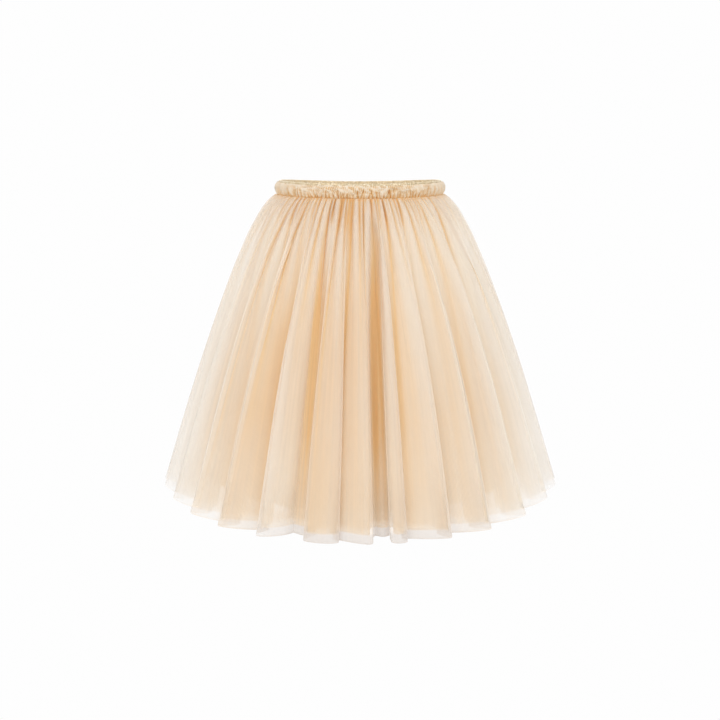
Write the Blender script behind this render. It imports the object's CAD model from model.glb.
"""A child's gathered tulle skirt, filled out as it is worn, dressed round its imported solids.

The script works in metres in the row frame: +Z is up, -Y is the front and +X is the right as seen
from the front. Tables of the skirt's sizes are in millimetres. Angles go round the skirt in
degrees from the centre front (0) by the right side (90) and the centre back (180).
"""

import math
from collections import namedtuple

import bpy
import numpy as np
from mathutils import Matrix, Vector


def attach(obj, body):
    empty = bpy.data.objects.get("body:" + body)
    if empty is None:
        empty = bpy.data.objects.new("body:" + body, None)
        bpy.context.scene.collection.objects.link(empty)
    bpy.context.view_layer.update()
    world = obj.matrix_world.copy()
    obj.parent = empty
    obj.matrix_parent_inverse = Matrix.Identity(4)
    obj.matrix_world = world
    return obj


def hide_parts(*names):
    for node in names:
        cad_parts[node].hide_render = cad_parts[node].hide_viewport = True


MM = 0.001

# Camera, at the photograph's place a little above the waist
CAMERA_AT = (0.0, -1.350, 0.060)
CAMERA_AIM = (0.0, 0.0, -0.21725)
CAMERA_LENS_MM = 54.3
CAMERA_SENSOR_MM = 36

# The round soft lights, with the place and the watts of each. They face the skirt's middle.
LIGHT_SIZE = 1.6
LIGHTS = {
    "key": ((-1.2, -2.0, 1.3), 14),
    "fill": ((1.6, -2.0, 0.4), 8),
    "back": ((0.0, 2.2, 1.0), 10),
}
SKIRT_MIDDLE = (0, 0, -0.2)

# The white floor and the room round it
FLOOR_Z = -0.75
FLOOR_RADIUS = 6
WHITE = (1, 1, 1, 1)
ROOM_LIGHT = 0.99

# The skirt's crests from the waist seam to the hem. fold is the depth of its big folds, gather
# that of its fine gathers, and lean is how far the folds have leaned over, from 0 to 1.
Section = namedtuple("Section", "z half_width half_depth fold gather lean")
SECTIONS = [
    Section(-8.8, 104.6, 82.6, 0.0, 1.6, 0.0),
    Section(-12.5, 110.0, 88.4, 0.3, 3.6, 0.0),
    Section(-20.5, 117.8, 96.6, 1.0, 5.4, 0.0),
    Section(-42.0, 131.8, 111.2, 3.4, 5.8, 0.15),
    Section(-82.0, 151.2, 131.9, 8.0, 4.6, 0.45),
    Section(-140.0, 174.4, 156.3, 13.5, 3.4, 0.75),
    Section(-218.0, 202.0, 185.4, 19.0, 2.6, 0.95),
    Section(-300.0, 228.2, 213.2, 22.5, 2.1, 1.0),
    Section(-373.0, 250.4, 237.2, 24.5, 1.8, 1.0),
]
TOP = SECTIONS[0].z
HEM = SECTIONS[-1].z

# Every fold lies between two edges, and at is the angle of its first one. depth is the valley's
# share of the section's fold depth there, and rise is how far the hem is lifted. lean is how far
# the fold leans over: minus to the left, plus to the right. box is how far it laps over both
# sides. sunk is the fold's own depth, where it is the open floor of a valley. shade is how
# warm the first valley looks. tone is how much warmer than most the fold is, or paler if minus.
Fold = namedtuple("Fold", "at depth rise lean box sunk shade tone")
FOLDS = [
    Fold(-90.0, 0.7, 0, -0.7, 0, 0, 0.9, 0),
    Fold(-76.0, 0.7, 10, -0.9, 0, 0, 0.2, 0),
    Fold(-63.5, 0.8, 10, -1.0, 0, 0, 0.35, 0.06),
    Fold(-52.0, 0.8, 5, -1.0, 0, 0, 0.5, 0.07),
    Fold(-40.0, 0.9, 1, -1.0, 0, 0, 0.4, 0.13),
    Fold(-29.3, 1.0, 0, -0.6, 0.15, 0, 0.8, 0.05),
    Fold(-18.9, 1.0, 0, 0, 0, 0.8, 1.0, 0),
    Fold(-15.1, 1.0, 0, -0.1, 0.9, 0, 0.9, 0.28),
    Fold(-5.0, 0.6, 0, 0.5, 0, 0, 0.35, 0.32),
    Fold(6.1, 1.1, 0, 0, 0, 0.9, 0.8, 0),
    Fold(7.7, 1.1, 0, 0.1, 0.9, 0, 0.6, 0.28),
    Fold(12.4, 0.6, 0, 0.8, 0, 0, 0.5, 0.18),
    Fold(25.3, 0.9, 0, 1.0, 0, 0, 0.5, 0.1),
    Fold(36.0, 0.9, 1, 1.0, 0, 0, 0.4, 0.05),
    Fold(50.0, 0.9, 5, 1.0, 0, 0, 0.55, 0.04),
    Fold(64.0, 0.8, 10, 0.9, 0, 0, 0.3, -0.08),
    Fold(77.0, 0.7, 10, 0.7, 0, 0, 0.15, -0.12),
    Fold(90.0, 0.7, 0, 0.6, 0, 0, 0.9, 0),
    Fold(101.0, 0.9, 8, 0.9, 0, 0, 0.9, 0),
    Fold(114.0, 0.6, 10, 1.0, 0, 0, 0.5, 0.1),
    Fold(125.0, 1.0, 6, 0.9, 0, 0, 0.6, 0),
    Fold(138.0, 0.8, 2, 0.6, 0.4, 0, 0.4, 0),
    Fold(148.5, 1.0, 0, 0, 0, 0.8, 0.9, 0),
    Fold(152.0, 1.0, 0, 0.3, 0.8, 0, 0.8, 0.1),
    Fold(160.0, 0.5, 0, 0.5, 0.4, 0, 0.3, 0.2),
    Fold(171.0, 1.0, 0, 0.1, 0.9, 0, 0.6, 0),
    Fold(183.0, 0.7, 0, -0.4, 0.2, 0, 0.3, 0.15),
    Fold(193.5, 1.1, 0, 0, 0, 0.9, 1.0, 0),
    Fold(196.5, 1.1, 0, -0.6, 0.5, 0, 0.9, 0.05),
    Fold(204.0, 0.45, 0, -0.9, 0, 0, 0.25, 0.15),
    Fold(216.0, 0.9, 1, -1.0, 0, 0, 0.5, 0),
    Fold(229.0, 0.8, 4, -1.0, 0, 0, 0.4, 0.1),
    Fold(242.0, 1.0, 9, -0.9, 0, 0, 0.7, 0),
    Fold(256.0, 0.7, 10, -0.6, 0, 0, 0.6, 0),
]
ROUND_FROM = -90.0  # the angle where the rounds of cloth start and end

# In widths of a fold: how far a valley hides under a fold that laps over it, how far the crest
# of a leaning fold moves, and how far a box fold's sides swing out over its valleys
TUCK = 0.30
CREST_MOVES = 0.5
BOX_SWINGS = 0.36
BOX_LAPS = 0.8  # how far a box fold laps over each side, against a leaning one
DEEPEST_FOLD = 1.2  # no fold reaches in as far as this share of the section's fold depth
HEM_CURL = 2.5  # how far the hem curls up at the lip of a fold, in millimetres

# The creases that start at the waist, on the front half. at is the angle, reach is how far down
# a crease runs and depth is its share of the section's gather depth. The back has them mirrored.
Crease = namedtuple("Crease", "at reach depth")
CREASES = [
    Crease(-88.0, 90, 0.9),
    Crease(-82.5, 300, 0.8),
    Crease(-77.0, 60, 1.0),
    Crease(-70.0, 140, 0.9),
    Crease(-64.0, 420, 1.2),
    Crease(-57.0, 230, 0.8),
    Crease(-52.0, 60, 1.0),
    Crease(-45.0, 420, 1.2),
    Crease(-41.0, 120, 0.9),
    Crease(-37.6, 180, 1.1),
    Crease(-33.5, 420, 1.1),
    Crease(-31.0, 260, 0.7),
    Crease(-28.0, 120, 0.9),
    Crease(-25.5, 160, 1.0),
    Crease(-21.7, 320, 1.0),
    Crease(-17.8, 420, 1.3),
    Crease(-15.7, 40, 0.8),
    Crease(-11.4, 420, 1.2),
    Crease(-10.4, 40, 0.9),
    Crease(-8.0, 240, 0.9),
    Crease(-5.7, 60, 0.8),
    Crease(-4.6, 420, 1.05),
    Crease(-0.6, 220, 0.9),
    Crease(2.1, 330, 1.1),
    Crease(6.6, 330, 1.4),
    Crease(9.4, 70, 0.9),
    Crease(11.8, 110, 0.6),
    Crease(14.1, 420, 1.0),
    Crease(18.7, 110, 0.9),
    Crease(21.7, 50, 1.0),
    Crease(24.4, 110, 0.9),
    Crease(28.5, 420, 0.9),
    Crease(32.0, 120, 0.9),
    Crease(36.0, 50, 0.9),
    Crease(38.8, 420, 0.9),
    Crease(44.0, 80, 0.8),
    Crease(51.0, 180, 1.0),
    Crease(59.0, 420, 1.1),
    Crease(65.0, 60, 0.9),
    Crease(71.0, 300, 0.7),
    Crease(78.0, 70, 0.8),
    Crease(84.0, 200, 0.6),
]

# Every crease strays a little, and by each depth below the seam in CREASE_WIDENS its half width
# is so many degrees more. Where creases meet, they go in no further than DEEPEST_CREASE.
CREASE_STRAYS = 0.35
CREASE_HALF_WIDTH = 0.45
CREASE_WIDENS = {25: 0.25, 160: 0.55}
DEEPEST_CREASE = 1.5
# The short gathers between them. step, reach and depth are each from and to.
GATHERS = {"seed": 8, "step": (2.2, 4.2), "reach": (12, 40), "depth": (0.5, 0.9)}

# The layers of tulle. hem is the height of the edge, and near and far are how much further in
# than the outer tulle a layer lies, at the waist and at the hem. shift moves its creases round
# in degrees. It has so many rows of points, and so many points to a degree.
Layer = namedtuple("Layer", "hem near far shift rows per_degree")
OUTER = Layer(HEM, 0.0, 0.0, 0.0, 60, 4.1)
SECOND = Layer(HEM + 8, 1.6, 4.2, 1.9, 56, 2.6)
LINING = {"hem": HEM + 20, "near": 3.1, "far": 6.0, "wave": 0.36, "gather": 1.6, "rise": 9}
# The lining's waves and its gathers at the waist, each with its count round and its phase
LINING_WAVES = {19: 0.3, 26: 1.7, 31: 4.0}
LINING_GATHERS = {43: 0.9, 58: 2.2, 71: 5.1}

WAIST_DIP = {"front": 1.6, "back": 4.6}  # the elastic hangs lower here than at the sides
BAND = {"half_width": 99.5, "half_depth": 77.5, "thickness": 2.0, "top": 8.5, "bottom": -8.5}
BAND_EDGE = 0.7  # how far down from its top the elastic rounds off
BAND_PUCKER = {"depth": 0.2, "count": 66, "from": 2, "to": -6}
ZIGZAG = {"low": -6.6, "high": -3.2, "inside": 0.25, "radius": 0.22, "corners": 260}

# The frill's strip, stitched along its top and bottom, with its puff between them
FRILL = {"top": 6.0, "bottom": -8.6, "puff": 4.0, "pucker": 3.4, "bump": 1.5}
# Its puckers run up from the seam. Their step, slant and half width are in degrees and their
# reach is a share of the strip, each from and to.
PUCKERS = {"step": (1.6, 3.4), "slant": (-4.5, 4.5), "depth": (0.7, 1.2), "reach": (0.4, 0.95)}
PUCKER_HALF_WIDTH = (0.5, 0.8)
# Its crumples are the sum of some waves, with so many round the waist and across the strip
CRUMPLES = {"waves": 30, "round": (80, 190), "across": (-2.8, 2.8)}
FRILL_SEED = 21

# Colours
WARM = (0.85, 0.605, 0.315)
DARKEST = (0.79, 0.44, 0.15)
PALE = (0.97, 0.91, 0.835)
SIDE = (0.945, 0.935, 0.925)
SHEEN = (1.0, 0.94, 0.87)
LINING_COLOUR = (0.905, 0.81, 0.66)
GOLD = (0.73, 0.59, 0.365)
GOLD_DARK = (0.47, 0.375, 0.24)
GLINT = (1.0, 0.95, 0.82)
THREAD = (0.92, 0.80, 0.60)

NET_PITCH = 0.0009  # metres from hole to hole
MOST_HIDDEN = 0.98  # the share that the densest net hides

# How each net looks. hole and thread are how much it hides in its holes and at its threads, and
# packed is how much more it hides in a fold.
Look = namedtuple("Look", "colour hole thread packed sheen hem")
# Its hem. From start to full metres above the cut edge it turns to this colour and hides more.
# Over the last fade metres it hides less again, down to the share left of it all.
Hem = namedtuple("Hem", "colour hides start full fade left")
OUTER_HEM = Hem((0.74, 0.685, 0.64), 0.29, 0.0115, 0.0085, 0.005, 1)
SECOND_HEM = Hem((0.79, 0.66, 0.50), 0.45, 0.060, 0.014, 0.010, 0.6)
FRILL_HEM = Hem((0.9, 0.8, 0.7), 0, 0, -1, 1, 1)  # the frill shows none of this
OUTER_LOOK = Look((0.915, 0.89, 0.855), 0.24, 0.38, 0.45, 0.8, OUTER_HEM)
SECOND_LOOK = Look((0.91, 0.875, 0.80), 0.30, 0.44, 0.50, 0.8, SECOND_HEM)
FRILL_LOOK = Look((0.98, 0.89, 0.745), 0.93, 1.0, 0.05, 0.0, FRILL_HEM)

# The cut of each cloth all round, in metres. top is its gathered edge.
Cut = namedtuple("Cut", "top hem length")
OUTER_CUT = Cut(1.60, 2.80, 0.390)
SECOND_CUT = Cut(1.60, 2.86, 0.381)


def ramp(value, start, end):
    """0 up to start, 1 from end on, and evenly between them."""
    return np.clip((value - start) / (end - start), 0, 1)


def hump(value, half_width):
    """1 at 0, and about a third at half_width to either side."""
    return np.exp(-((value / half_width) ** 2))


def part_way(start, end, share):
    return start + (end - start) * share


def turned_back(degrees):
    """The same angle, from -180 to 180."""
    return (degrees + 180) % 360 - 180


def section_at(z):
    """The sizes at heights z, smooth between the rows of SECTIONS."""
    zs = np.array([s.z for s in SECTIONS])[::-1]
    sizes = {}
    for field in Section._fields[1:]:
        values = np.array([getattr(s, field) for s in SECTIONS])[::-1]
        slopes = np.gradient(values, zs)
        at = np.clip(np.searchsorted(zs, z) - 1, 0, len(zs) - 2)
        span = zs[at + 1] - zs[at]
        t = np.clip((z - zs[at]) / span, 0, 1)
        sizes[field] = (
            (2 * t**3 - 3 * t**2 + 1) * values[at]
            + (t**3 - 2 * t**2 + t) * span * slopes[at]
            + (3 * t**2 - 2 * t**3) * values[at + 1]
            + (t**3 - t**2) * span * slopes[at + 1]
        )
    return Section(z=z, **sizes)


def dip_at(angle, z):
    """How much lower the waist hangs at an angle. It fades out towards the hem."""
    side = np.where(np.cos(angle) > 0, WAIST_DIP["front"], WAIST_DIP["back"])
    return side * np.cos(angle) ** 2 * np.clip(1 - z / HEM, 0, 1)


def oval(half_width, half_depth, angle, z):
    """Points on an oval round the Z axis, in millimetres."""
    x = half_width * np.sin(angle)
    y = -half_depth * np.cos(angle)
    return np.stack([x, y, z - dip_at(angle, z) + 0 * x], axis=-1)


def outward(grid):
    """The level outward direction at each point of a round grid."""
    along = np.roll(grid, -1, axis=1) - np.roll(grid, 1, axis=1)
    out = np.stack([along[..., 1], -along[..., 0], 0 * along[..., 0]], axis=-1)
    return out / np.maximum(np.linalg.norm(out, axis=-1, keepdims=True), 1e-6)


def steps_round(r, step):
    """Angles all round the skirt, each a random step after the last."""
    at = ROUND_FROM
    while at < ROUND_FROM + 357:
        at += r.uniform(*step)
        yield at


def short_gathers():
    """The short gathers between the long creases, all round just below the waist seam."""
    r = np.random.default_rng(GATHERS["seed"])
    reach, depth = GATHERS["reach"], GATHERS["depth"]
    return [Crease(at, r.uniform(*reach), r.uniform(*depth)) for at in steps_round(r, GATHERS["step"])]


def crease_depth(nominal, z, shift):
    """How far the creases go in, in shares of the gather depth. nominal is the angle of each
    column as if no fold leaned, and shift moves the creases round, both in degrees."""
    down = TOP - z
    total = np.zeros(np.broadcast(nominal, z).shape)
    half_width = CREASE_HALF_WIDTH + sum(more * ramp(down, 0, by) for by, more in CREASE_WIDENS.items())
    back = [crease._replace(at=180 - crease.at) for crease in CREASES]
    for number, crease in enumerate(CREASES + back + short_gathers()):
        stray = CREASE_STRAYS * np.sin(down / 70 + 2.4 * number) * ramp(down, 0, 60)
        off = turned_back(nominal - (crease.at + stray + shift * ramp(down, 0, 200)))
        left = 1 - ramp(down, 0, crease.reach)
        total += crease.depth * left**0.6 * np.exp(-np.abs(off / half_width) ** 1.4)
    return np.clip(total, 0, DEEPEST_CREASE)


def fold_columns(per_degree):
    """For each column round the skirt: its fold's two edge angles, valley depths and rises, how
    far it laps over to each side, and its place v across the fold, from 0 to 1."""
    at = np.array([f.at for f in FOLDS] + [FOLDS[0].at + 360])
    widths = np.diff(at)
    counts = np.round(widths * per_degree).astype(int)
    first = np.repeat(np.arange(len(FOLDS)), counts)
    fields = {name: np.array([getattr(f, name) for f in FOLDS]) for name in Fold._fields}
    fields["width"] = widths
    fields["over_left"] = np.maximum(-fields["lean"], 0) + BOX_LAPS * fields["box"]
    fields["over_right"] = np.maximum(fields["lean"], 0) + BOX_LAPS * fields["box"]
    column = {"v": np.concatenate([np.arange(n) / n for n in counts])}
    column.update(end=at[first + 1], count=counts[first])
    for name, values in fields.items():
        column[name] = values[first]
        column["next_" + name] = np.roll(values, -1)[first]
        column["last_" + name] = np.roll(values, 1)[first]
    return {name: values[None, :] for name, values in column.items()}


def tucked(over_right, width_left, over_left, width_right):
    """How far a valley between two folds moves, in degrees, to hide under the one that laps
    over it."""
    return TUCK * (over_left * width_right - over_right * width_left)


def fold_angle(c, lean):
    """The angle of each column in degrees, where the folds lean and lap over by a share lean."""
    start = c["at"] + lean * tucked(c["last_over_right"], c["last_width"], c["over_left"], c["width"])
    end = c["end"] + lean * tucked(c["over_right"], c["width"], c["next_over_left"], c["next_width"])
    moved = (start + end - c["at"] - c["end"]) / 2
    leans = c["lean"] * lean * CREST_MOVES * c["width"] - moved * np.abs(c["lean"])
    swings = BOX_SWINGS * c["box"] * lean * c["width"] * np.sin(2 * math.pi * c["v"])
    return part_way(start, end, c["v"]) + leans * np.sin(math.pi * c["v"]) ** 2 - swings


def lip_share(c, lean, angle, sunk):
    """How near each point is to a fold's lip, where the cloth turns back under it, from 0 to 1.
    sunk is how far down in its valley the point lies, from 0 to 1."""
    turning = np.gradient(angle, axis=1) * c["count"] / c["width"]
    laps = lean * np.clip(c["over_left"] + c["over_right"], 0, 1)
    return laps * hump(turning, 0.4) * (1 - ramp(sunk, 0.5, 0.8))


def valley_share(c, opened):
    """How deep in a valley each column lies, from 0 to 1, most beside a fold that laps over it.
    opened is how wide the valleys are at each height, from 0 to 1."""
    first = (c["v"], c["shade"], c["over_left"], c["last_over_right"])
    second = (1 - c["v"], c["next_shade"], c["over_right"], c["next_over_left"])
    total = 0
    for off, shade, lap, other_lap in (first, second):
        lap = np.clip(lap, 0, 1)
        beside = 1.2 * shade * hump(off, (0.3 - 0.2 * lap) * opened)
        total = total + beside * np.clip(other_lap, 0.25, 1) * (1 - 0.5 * lap)
    floor = c["sunk"] * (1 - 0.15 * c["v"] - 0.3 * hump(c["v"] - 0.5, 0.12))
    return np.clip(np.maximum(total, floor), 0, 1)


def cloth_shares(c, down, angle, creased, lip):
    """How each point looks, by name: how deep in a fold or crease it lies, up to 1 and towards
    the waist up to about 1.4, and from 0 to 1 how near a fold's lip, how near one of the skirt's
    sides and how far round from its front or back. down is how far below the seam it is."""
    # The gathers are tightest at the seam, and the creases get weaker on their way down
    tight = 0.43 * np.exp(-down / 18)
    crease_weight = 1.05 - 0.45 * ramp(down, 0, 300) + tight
    # The valleys start 15 mm below the seam, get wider down to 240 mm and are paler below that
    valleys = 0.9 * valley_share(c, np.clip(down / 240, 0.35, 1))
    valleys = valleys * ramp(down, 15, 135) * (1 - 0.5 * ramp(down, 240, 350))
    tones = c["tone"] * np.sin(math.pi * c["v"]) ** 0.5 * np.clip(down / 250, 0.3, 1.3)
    at_seam = 0.4 * hump(down, 2.5)
    deep = crease_weight * np.clip(creased, 0, 1) ** 1.4 + valleys + tones + at_seam
    deep = np.clip(deep, 0, 1 + tight + 0.3 * hump(down - 80, 45))
    # The sides are pale, most of all low down, but not in their valleys
    sideways = np.abs(np.sin(np.radians(angle)))
    side = ramp(sideways, 0.73, 0.98) * part_way(0.25, 1, ramp(down, 40, 330))
    side = side * (1 - 0.8 * np.clip(valleys + tones, 0, 1))
    deep = deep * (1 - 0.75 * side)
    return {"deep": deep, "lip": np.clip(lip, 0, 1), "side": side, "flank": ramp(sideways, 0.3, 0.75)}


def skirt_cloth(layer):
    """The points of a layer of tulle, in rows that go down and columns round the skirt, and how
    each one looks."""
    z = heights(layer.hem, layer.rows)[:, None]
    c = fold_columns(layer.per_degree)
    s = section_at(z)
    angle = fold_angle(c, s.lean)
    depth = part_way(c["depth"], c["next_depth"], c["v"])
    fold = depth - (depth - c["sunk"]) * np.sin(math.pi * c["v"]) ** (1.3 - 0.5 * c["box"])
    lip = lip_share(c, s.lean, angle, fold / depth)
    rise = part_way(c["rise"], c["next_rise"], c["v"])
    lifted = z + rise * (z / HEM) ** 2 + HEM_CURL * lip * (z / HEM) ** 40
    grid = oval(s.half_width - s.fold * fold, s.half_depth - s.fold * fold, np.radians(angle), lifted)
    creased = crease_depth(part_way(c["at"], c["end"], c["v"]), z, layer.shift)
    inward = s.gather * creased + part_way(layer.near, layer.far, z / HEM)
    shares = cloth_shares(c, TOP - z, angle, creased, lip)
    return grid - outward(grid) * inward[..., None], shares


def ripples(turn, waves):
    """The mean of some waves round the skirt."""
    return sum(np.sin(count * turn + phase) for count, phase in waves.items()) / len(waves)


def lining_points(rows, columns):
    """The lining's points: a plain gathered tube inside the deepest fold, in soft waves."""
    z = heights(LINING["hem"], rows)[:, None]
    s = section_at(z)
    turn = np.linspace(0, 2 * math.pi, columns, endpoint=False)[None, :]
    below = part_way(LINING["near"], LINING["far"], z / HEM)
    below = below + LINING["gather"] * (1 + ripples(turn, LINING_GATHERS)) * np.exp(z / 90)
    wave = LINING["wave"] * (1 + ripples(turn, LINING_WAVES)) / 2
    inward = below + 1.35 * s.gather + (DEEPEST_FOLD + wave) * s.fold
    lifted = z + LINING["rise"] * np.sin(turn) ** 4 * (z / HEM) ** 2
    return oval(s.half_width - inward, s.half_depth - inward, turn, lifted)


def frill_puckers(r, turn, down):
    """How deep in a slanting pucker each point of the frill lies."""
    total = np.zeros(np.broadcast(turn, down).shape)
    for at in steps_round(r, PUCKERS["step"]):
        slant, depth, reach = (r.uniform(*PUCKERS[name]) for name in ("slant", "depth", "reach"))
        off = turned_back(turn - at - slant * (1 - down) ** 1.3)
        left = ramp(down, 1 - reach, 1) ** 0.6
        total += depth * left * np.exp(-np.abs(off / r.uniform(*PUCKER_HALF_WIDTH)) ** 1.6)
    return np.clip(total, 0, 1.2)


def frill_crumples(r, turn, down):
    """How far each point of the frill stands out in its crumples, from -1 to 1."""
    total = np.zeros(np.broadcast(turn, down).shape)
    for _ in range(CRUMPLES["waves"]):
        count, across = r.integers(*CRUMPLES["round"]), r.uniform(*CRUMPLES["across"])
        phase = r.uniform(0, 2 * math.pi)
        total += np.sin(np.radians(turn) * count + across * 2 * math.pi * down + phase)
    return 1 - np.clip(np.abs(total / CRUMPLES["waves"] ** 0.5) * 1.7, 0, 2)


def frill_points(rows, columns):
    """The frill's points, and by name how deep in a pucker each one lies. The rows go down."""
    turn = np.linspace(ROUND_FROM, ROUND_FROM + 360, columns, endpoint=False)[None, :]
    down = np.linspace(0, 1, rows)[:, None]
    r = np.random.default_rng(FRILL_SEED)
    puckers = frill_puckers(r, turn, down)
    crumples = frill_crumples(r, turn, down)
    puff = np.sin(math.pi * (0.05 + 0.88 * down)) ** 0.7
    upper = 1 - 0.6 * down
    out = FRILL["puff"] - FRILL["pucker"] * puckers + FRILL["bump"] * crumples * upper
    out = 0.5 + puff * out
    z = part_way(FRILL["top"], FRILL["bottom"], down) + 0.7 * crumples * (1 - down)
    seam = 0.6 * hump(1 - down, 0.07)
    deep = np.clip(1.3 * puckers + 0.9 * np.clip(0.3 - crumples, 0, 1) * upper + seam, 0, 1.7)
    half_width = BAND["half_width"] + np.maximum(out, 0.3)
    return oval(half_width, BAND["half_depth"] + out, np.radians(turn), z), {"deep": deep}


def elastic_points(columns):
    """The elastic's points: its closed cross-section, puckered a little by the seam."""
    turn = np.radians(np.linspace(ROUND_FROM, ROUND_FROM + 360, columns, endpoint=False))[None, :]
    half = BAND["thickness"] / 2
    straight = np.linspace(BAND["bottom"] + BAND_EDGE, BAND["top"] - BAND_EDGE, 9)
    loop = [(half, z) for z in straight]
    for bend in np.radians(np.linspace(25, 155, 6)):
        loop.append((half * math.cos(bend), straight[-1] + BAND_EDGE * math.sin(bend)))
    loop += [(-x, BAND["bottom"] + BAND["top"] - z) for x, z in loop]
    out = np.array([x for x, _ in loop])[:, None] - half
    z = np.array([z for _, z in loop])[:, None]
    waves = 1 + np.sin(BAND_PUCKER["count"] * turn + 1.2 * np.sin(5 * turn))
    out = out - BAND_PUCKER["depth"] * waves * ramp(z, BAND_PUCKER["from"], BAND_PUCKER["to"])
    grid = oval(BAND["half_width"] + out, BAND["half_depth"] + out, turn, z)
    return grid[::-1]


def zigzag_points():
    """The path of the zigzag stitch that holds the gathers, on the inside of the elastic."""
    corner = np.arange(ZIGZAG["corners"])
    turn = np.radians(corner * 360 / ZIGZAG["corners"])
    z = np.where(corner % 2 == 0, ZIGZAG["low"], ZIGZAG["high"])
    inside = BAND["thickness"] + ZIGZAG["inside"]
    return oval(BAND["half_width"] - inside, BAND["half_depth"] - inside, turn, z)


def heights(hem, rows):
    """Heights from the waist seam to a hem, closer together near the waist."""
    t = np.linspace(0, 1, rows)
    return TOP + (hem - TOP) * (0.35 * t**2 + 0.65 * t)


# Meshes


def cloth_size(grid):
    """A round cloth's width at its last row and how far down it each row lies, in millimetres."""
    width = np.linalg.norm(np.roll(grid[-1], -1, axis=0) - grid[-1], axis=-1).sum()
    steps = np.linalg.norm(np.diff(grid, axis=0), axis=-1).mean(axis=1)
    return width, np.concatenate([[0], np.cumsum(steps)])


def round_mesh(name, grid, shares=(), closed=False):
    """A round sheet from a grid of points in millimetres, with a UV map in metres of cloth, and
    the shares as named attributes. A closed one has its last row joined to its first."""
    rows, columns = grid.shape[:2]
    r, c = np.meshgrid(np.arange(rows if closed else rows - 1), np.arange(columns), indexing="ij")
    right = (c + 1) % columns
    below = (r + 1) % rows
    corners = [r * columns + c, below * columns + c, below * columns + right, r * columns + right]
    mesh = bpy.data.meshes.new(name)
    faces = np.stack(corners, -1).reshape(-1, 4)
    mesh.from_pydata((grid.reshape(-1, 3) * MM).tolist(), [], faces.tolist())
    width, down = cloth_size(np.concatenate([grid, grid[:1]]) if closed else grid)
    u = np.stack([c, c, c + 1, c + 1], -1) / columns * width * MM
    v = down[np.stack([r, r + 1, r + 1, r], -1)] * MM
    uv = mesh.uv_layers.new(name="cloth")
    uv.data.foreach_set("uv", np.stack([u, v], -1).reshape(-1).astype(np.float32))
    for label, values in dict(shares).items():
        share = mesh.attributes.new(name=label, type="FLOAT", domain="POINT")
        share.data.foreach_set("value", values.reshape(-1).astype(np.float32))
    mesh.polygons.foreach_set("use_smooth", np.ones(len(mesh.polygons), bool))
    mesh.update()
    piece = bpy.data.objects.new(name, mesh)
    bpy.context.scene.collection.objects.link(piece)
    return piece, down[-1] * MM


def thread_mesh(name, path, radius):
    """A closed thread of four sides along a path, both in millimetres."""
    along = np.roll(path, -1, axis=0) - np.roll(path, 1, axis=0)
    along /= np.linalg.norm(along, axis=1, keepdims=True)
    out = path * (1, 1, 0)
    out /= np.linalg.norm(out, axis=1, keepdims=True)
    over = np.cross(along, out)
    ring = [radius * (out * a + over * b) for a, b in ((1, 0), (0, 1), (-1, 0), (0, -1))]
    return round_mesh(name, np.stack([path + side for side in ring]), closed=True)[0]


def settle(piece, slot, material, *nodes):
    """Gives a piece its body, its material and the nodes that it stands for."""
    piece.data.materials.append(material)
    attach(piece, "root")
    if nodes:
        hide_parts(*nodes)


# Materials


def node_tree(name):
    material = bpy.data.materials.new(name)
    material.use_nodes = True
    material.node_tree.nodes.clear()
    return material, material.node_tree


def add(tree, kind, sockets=(), **settings):
    """A node with its settings, and its sockets set or linked to other nodes' outputs."""
    node = tree.nodes.new(kind)
    for key, value in settings.items():
        setattr(node, key, value)
    for key, value in dict(sockets).items():
        if isinstance(value, bpy.types.NodeSocket):
            tree.links.new(value, node.inputs[key])
        else:
            node.inputs[key].default_value = value
    return node


def maths(tree, operation, a, b=0.0):
    return add(tree, "ShaderNodeMath", {0: a, 1: b}, operation=operation).outputs[0]


def times(tree, a, b):
    return maths(tree, "MULTIPLY", a, b)


def sum_of(tree, first, *others):
    """The sum of some values."""
    for value in others:
        first = maths(tree, "ADD", first, value)
    return first


def point_share(tree, label):
    """A share that round_mesh put on the points."""
    return add(tree, "ShaderNodeAttribute", attribute_name=label).outputs["Fac"]


def spread(tree, value, low, high, to_low=0.0, to_high=1.0):
    """A value moved from one range to another, and kept inside it."""
    sockets = {"Value": value, "From Min": low, "From Max": high, "To Min": to_low, "To Max": to_high}
    return add(tree, "ShaderNodeMapRange", sockets).outputs[0]


def mixed(tree, share, colour, other):
    """A mix of two colours."""
    node = add(tree, "ShaderNodeMix", data_type="RGBA")
    for key, value in ((0, share), (6, colour), (7, other)):
        if isinstance(value, bpy.types.NodeSocket):
            tree.links.new(value, node.inputs[key])
        else:
            node.inputs[key].default_value = value if key == 0 else (*value, 1)
    return node.outputs[2]


def finish_material(tree, shader):
    end = tree.nodes.new("ShaderNodeOutputMaterial")
    tree.links.new(shader, end.inputs[0])


def net(tree, uv, pitch):
    """1 on the threads and 0 in the holes of a fine net with six-sided holes, that far apart."""
    total = 0.0
    for degrees in (0, 60, 120):
        turn = math.radians(degrees)
        size = 2 * math.pi / (pitch * math.sqrt(3) / 2)
        across = (math.cos(turn) * size, math.sin(turn) * size, 0)
        dot = add(tree, "ShaderNodeVectorMath", {0: uv, 1: across}, operation="DOT_PRODUCT")
        total = maths(tree, "ADD", maths(tree, "COSINE", dot.outputs["Value"]), total)
    return spread(tree, total, 1.2, -0.6)


def streaks(tree, uv, across, along, detail=2.0):
    """Soft streaks that run down the cloth, so many to a metre across and along."""
    scaled = add(tree, "ShaderNodeVectorMath", {0: uv, 1: (across, along, 1)}, operation="MULTIPLY")
    noise = add(tree, "ShaderNodeTexNoise", {"Vector": scaled.outputs[0], "Detail": detail, "Scale": 1.0})
    return spread(tree, noise.outputs["Fac"], 0.3, 0.7)


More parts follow.
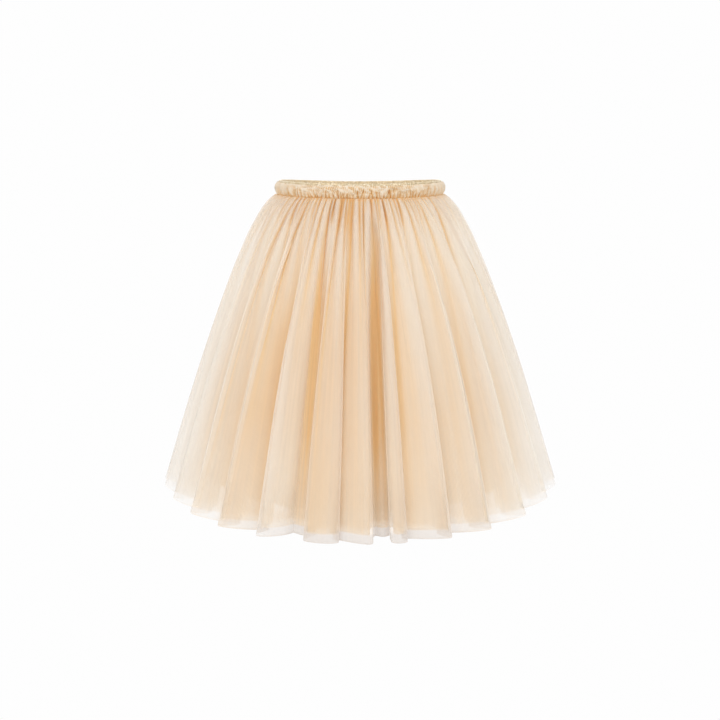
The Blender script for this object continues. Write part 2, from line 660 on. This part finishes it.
def cloth_shader(tree, colour, glow, roughness, sheen, normal=None):
    """Cloth that shows a share glow of its light from behind."""
    sockets = {"Base Color": colour, "Roughness": roughness, "Sheen Weight": sheen, "Sheen Roughness": 0.4}
    sockets["Sheen Tint"] = (*SHEEN, 1)
    if normal is not None:
        sockets["Normal"] = normal
    front = add(tree, "ShaderNodeBsdfPrincipled", sockets)
    through = add(tree, "ShaderNodeBsdfTranslucent", {"Color": colour})
    return add(tree, "ShaderNodeMixShader", {0: glow, 1: front.outputs[0], 2: through.outputs[0]}).outputs[0]


def tulle_tint(tree, look, deep, lip, side, near_hem, streaked):
    """The net's colour: warm in the folds, pale at their lips and at the skirt's sides, and with
    a colour of its own near the hem."""
    warm = sum_of(tree, deep, spread(tree, streaked, 0.2, 0.8, -0.06, 0.16))
    tint = mixed(tree, maths(tree, "MAXIMUM", warm, 0.0), look.colour, WARM)
    tint = mixed(tree, spread(tree, deep, 0.9, 1.6), tint, DARKEST)
    tint = mixed(tree, times(tree, lip, 0.85), tint, PALE)
    tint = mixed(tree, times(tree, side, 0.78), tint, SIDE)
    return mixed(tree, near_hem, tint, look.hem.colour)


def tulle_hides(tree, look, deep, lip, near_hem, streaked, threads, left):
    """How much the net hides of what is behind it. left is how much cloth is left below the point,
    down to the cut edge, in metres."""
    cut_edge = spread(tree, left, 0.0012, 0.0016, 0.3, 0)
    hides = sum_of(
        tree,
        spread(tree, threads, 0, 1, look.hole, look.thread),
        times(tree, deep, look.packed),
        times(tree, lip, 0.4),
        spread(tree, streaked, 0.2, 0.8, -0.07, 0.07),
        times(tree, near_hem, look.hem.hides),
        cut_edge,
    )
    hides = times(tree, hides, spread(tree, left, 0, look.hem.fade, look.hem.left, 1))
    return maths(tree, "MINIMUM", hides, MOST_HIDDEN)


def tulle_material(name, look, length):
    """Sheer net with the given look. length is the cloth's, to its cut edge."""
    material, tree = node_tree(name)
    uv = add(tree, "ShaderNodeUVMap", uv_map="cloth").outputs[0]
    deep, lip, side, flank = (point_share(tree, label) for label in ("deep", "lip", "side", "flank"))
    left = maths(tree, "SUBTRACT", length, add(tree, "ShaderNodeSeparateXYZ", {0: uv}).outputs["Y"])
    threads = net(tree, uv, NET_PITCH)
    fine = streaks(tree, uv, across=210, along=2.5, detail=3.0)
    broad = streaks(tree, uv, across=55, along=2.5)
    streaked = sum_of(tree, times(tree, fine, 0.45), times(tree, broad, 0.55))
    near_hem = spread(tree, left, look.hem.full, look.hem.start, 1, 0)
    near_hem = times(tree, near_hem, spread(tree, flank, 0, 1, 1, 0.2))
    tint = tulle_tint(tree, look, deep, lip, side, near_hem, streaked)
    hides = tulle_hides(tree, look, deep, lip, near_hem, streaked, threads, left)
    bump = add(tree, "ShaderNodeBump", {"Height": threads, "Strength": 0.15, "Distance": 0.0002})
    lit = cloth_shader(tree, tint, glow=0.3, roughness=0.75, sheen=look.sheen, normal=bump.outputs[0])
    clear = add(tree, "ShaderNodeBsdfTransparent").outputs[0]
    out = add(tree, "ShaderNodeMixShader", {0: hides, 1: clear, 2: lit})
    finish_material(tree, out.outputs[0])
    return material


def lining_material():
    """Plain woven cloth, with fine slubs along its length."""
    material, tree = node_tree("lining")
    uv = add(tree, "ShaderNodeUVMap", uv_map="cloth").outputs[0]
    slubs = streaks(tree, uv, across=900, along=60)
    pale = tuple(min(1, c * 1.05) for c in LINING_COLOUR)
    tint = mixed(tree, slubs, tuple(c * 0.96 for c in LINING_COLOUR), pale)
    bump = add(tree, "ShaderNodeBump", {"Height": slubs, "Strength": 0.2, "Distance": 0.0003})
    lit = cloth_shader(tree, tint, glow=0.25, roughness=0.55, sheen=0.2, normal=bump.outputs[0])
    finish_material(tree, lit)
    return material


def glitter_material():
    """Gold elastic under glitter: small flecks that catch the light each at its own angle."""
    material, tree = node_tree("gold_glitter")
    place = add(tree, "ShaderNodeTexCoord").outputs["Object"]
    flecks = add(tree, "ShaderNodeTexVoronoi", {"Vector": place, "Scale": 1300.0})
    level = add(tree, "ShaderNodeSeparateColor", {0: flecks.outputs["Color"]}).outputs[0]
    tint = mixed(tree, spread(tree, level, 0.05, 0.6), GOLD_DARK, GOLD)
    tint = mixed(tree, spread(tree, level, 0.82, 0.95), tint, GLINT)
    turned = add(tree, "ShaderNodeBump", {"Height": level, "Strength": 0.6, "Distance": 0.0003})
    sockets = {"Base Color": tint, "Roughness": 0.35, "Metallic": 0.35, "Normal": turned.outputs[0]}
    finish_material(tree, add(tree, "ShaderNodeBsdfPrincipled", sockets).outputs[0])
    return material


def thread_material():
    material, tree = node_tree("sewing_thread")
    place = add(tree, "ShaderNodeTexCoord").outputs["Object"]
    twist = add(tree, "ShaderNodeTexWave", {"Vector": place, "Scale": 900.0}, bands_direction="DIAGONAL")
    tint = mixed(tree, twist.outputs["Fac"], tuple(c * 0.85 for c in THREAD), THREAD)
    sockets = {"Base Color": tint, "Roughness": 0.5}
    finish_material(tree, add(tree, "ShaderNodeBsdfPrincipled", sockets).outputs[0])
    return material


# Pieces


def add_tulle(name, layer, look, cut, *nodes):
    """One round of tulle, its front and back sewn at the sides."""
    piece, length = round_mesh(name, *skirt_cloth(layer))
    settle(piece, "tulle", tulle_material(name, look, length), *nodes)


def add_lining():
    piece, _ = round_mesh("lining", lining_points(rows=48, columns=720))
    settle(piece, "lining", lining_material(), "lining_front", "lining_back")


def add_frill():
    piece, length = round_mesh("waist_frill", *frill_points(rows=24, columns=2160))
    material = tulle_material("frill", FRILL_LOOK, length)
    settle(piece, "tulle", material, "waist_frill_front", "waist_frill_back")


def add_elastic():
    piece, _ = round_mesh("elastic_band", elastic_points(columns=720), closed=True)
    settle(piece, "elastic", glitter_material(), "waist_elastic")
    zigzag = thread_mesh("elastic_zigzag", zigzag_points(), ZIGZAG["radius"])
    settle(zigzag, "elastic", thread_material())


# Scene


def add_camera():
    camera = bpy.data.objects.new("camera", bpy.data.cameras.new("camera"))
    bpy.context.scene.collection.objects.link(camera)
    camera.location = CAMERA_AT
    camera.rotation_euler = (Vector(CAMERA_AIM) - Vector(CAMERA_AT)).to_track_quat("-Z", "Y").to_euler()
    camera.data.lens = CAMERA_LENS_MM
    camera.data.sensor_width = CAMERA_SENSOR_MM
    bpy.context.scene.camera = camera


def add_lights():
    for name, (at, watts) in LIGHTS.items():
        light = bpy.data.lights.new(name, "AREA")
        light.shape = "DISK"
        light.size = LIGHT_SIZE
        light.energy = watts
        lamp = bpy.data.objects.new(name, light)
        bpy.context.scene.collection.objects.link(lamp)
        lamp.location = at
        lamp.rotation_euler = (Vector(SKIRT_MIDDLE) - Vector(at)).to_track_quat("-Z", "Y").to_euler()


def add_stage():
    """A white floor well below the skirt, as bright as the room round it."""
    place = {"radius": FLOOR_RADIUS, "location": (0, 0, FLOOR_Z)}
    bpy.ops.mesh.primitive_circle_add(vertices=96, fill_type="NGON", **place)
    floor = bpy.context.object
    floor.name = "floor"
    material, tree = node_tree("white_floor")
    glow = add(tree, "ShaderNodeEmission", {"Color": WHITE, "Strength": ROOM_LIGHT})
    finish_material(tree, glow.outputs[0])
    floor.data.materials.append(material)
    world = bpy.data.worlds.new("white_room")
    bpy.context.scene.world = world
    world.use_nodes = True
    background = world.node_tree.nodes["Background"]
    background.inputs["Color"].default_value = WHITE
    background.inputs["Strength"].default_value = ROOM_LIGHT


def set_render():
    """How many times light passes through or between the layers, and plain colours."""
    scene = bpy.context.scene
    scene.view_settings.view_transform = "Standard"
    scene.cycles.transparent_max_bounces = 64
    scene.cycles.max_bounces = 12
    scene.cycles.diffuse_bounces = 8
    scene.cycles.transmission_bounces = 8


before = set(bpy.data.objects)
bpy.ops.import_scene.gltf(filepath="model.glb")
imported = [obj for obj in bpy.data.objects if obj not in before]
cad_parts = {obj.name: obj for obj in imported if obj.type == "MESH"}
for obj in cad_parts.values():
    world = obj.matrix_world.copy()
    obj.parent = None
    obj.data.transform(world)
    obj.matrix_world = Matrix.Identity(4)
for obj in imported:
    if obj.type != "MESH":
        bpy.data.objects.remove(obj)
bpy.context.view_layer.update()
add_camera()
add_stage()
add_lights()
set_render()
add_tulle("outer_tulle", OUTER, OUTER_LOOK, OUTER_CUT, "tulle_outer_front", "tulle_outer_back")
add_tulle("second_tulle", SECOND, SECOND_LOOK, SECOND_CUT, "tulle_second_front", "tulle_second_back")
add_lining()
add_frill()
add_elastic()
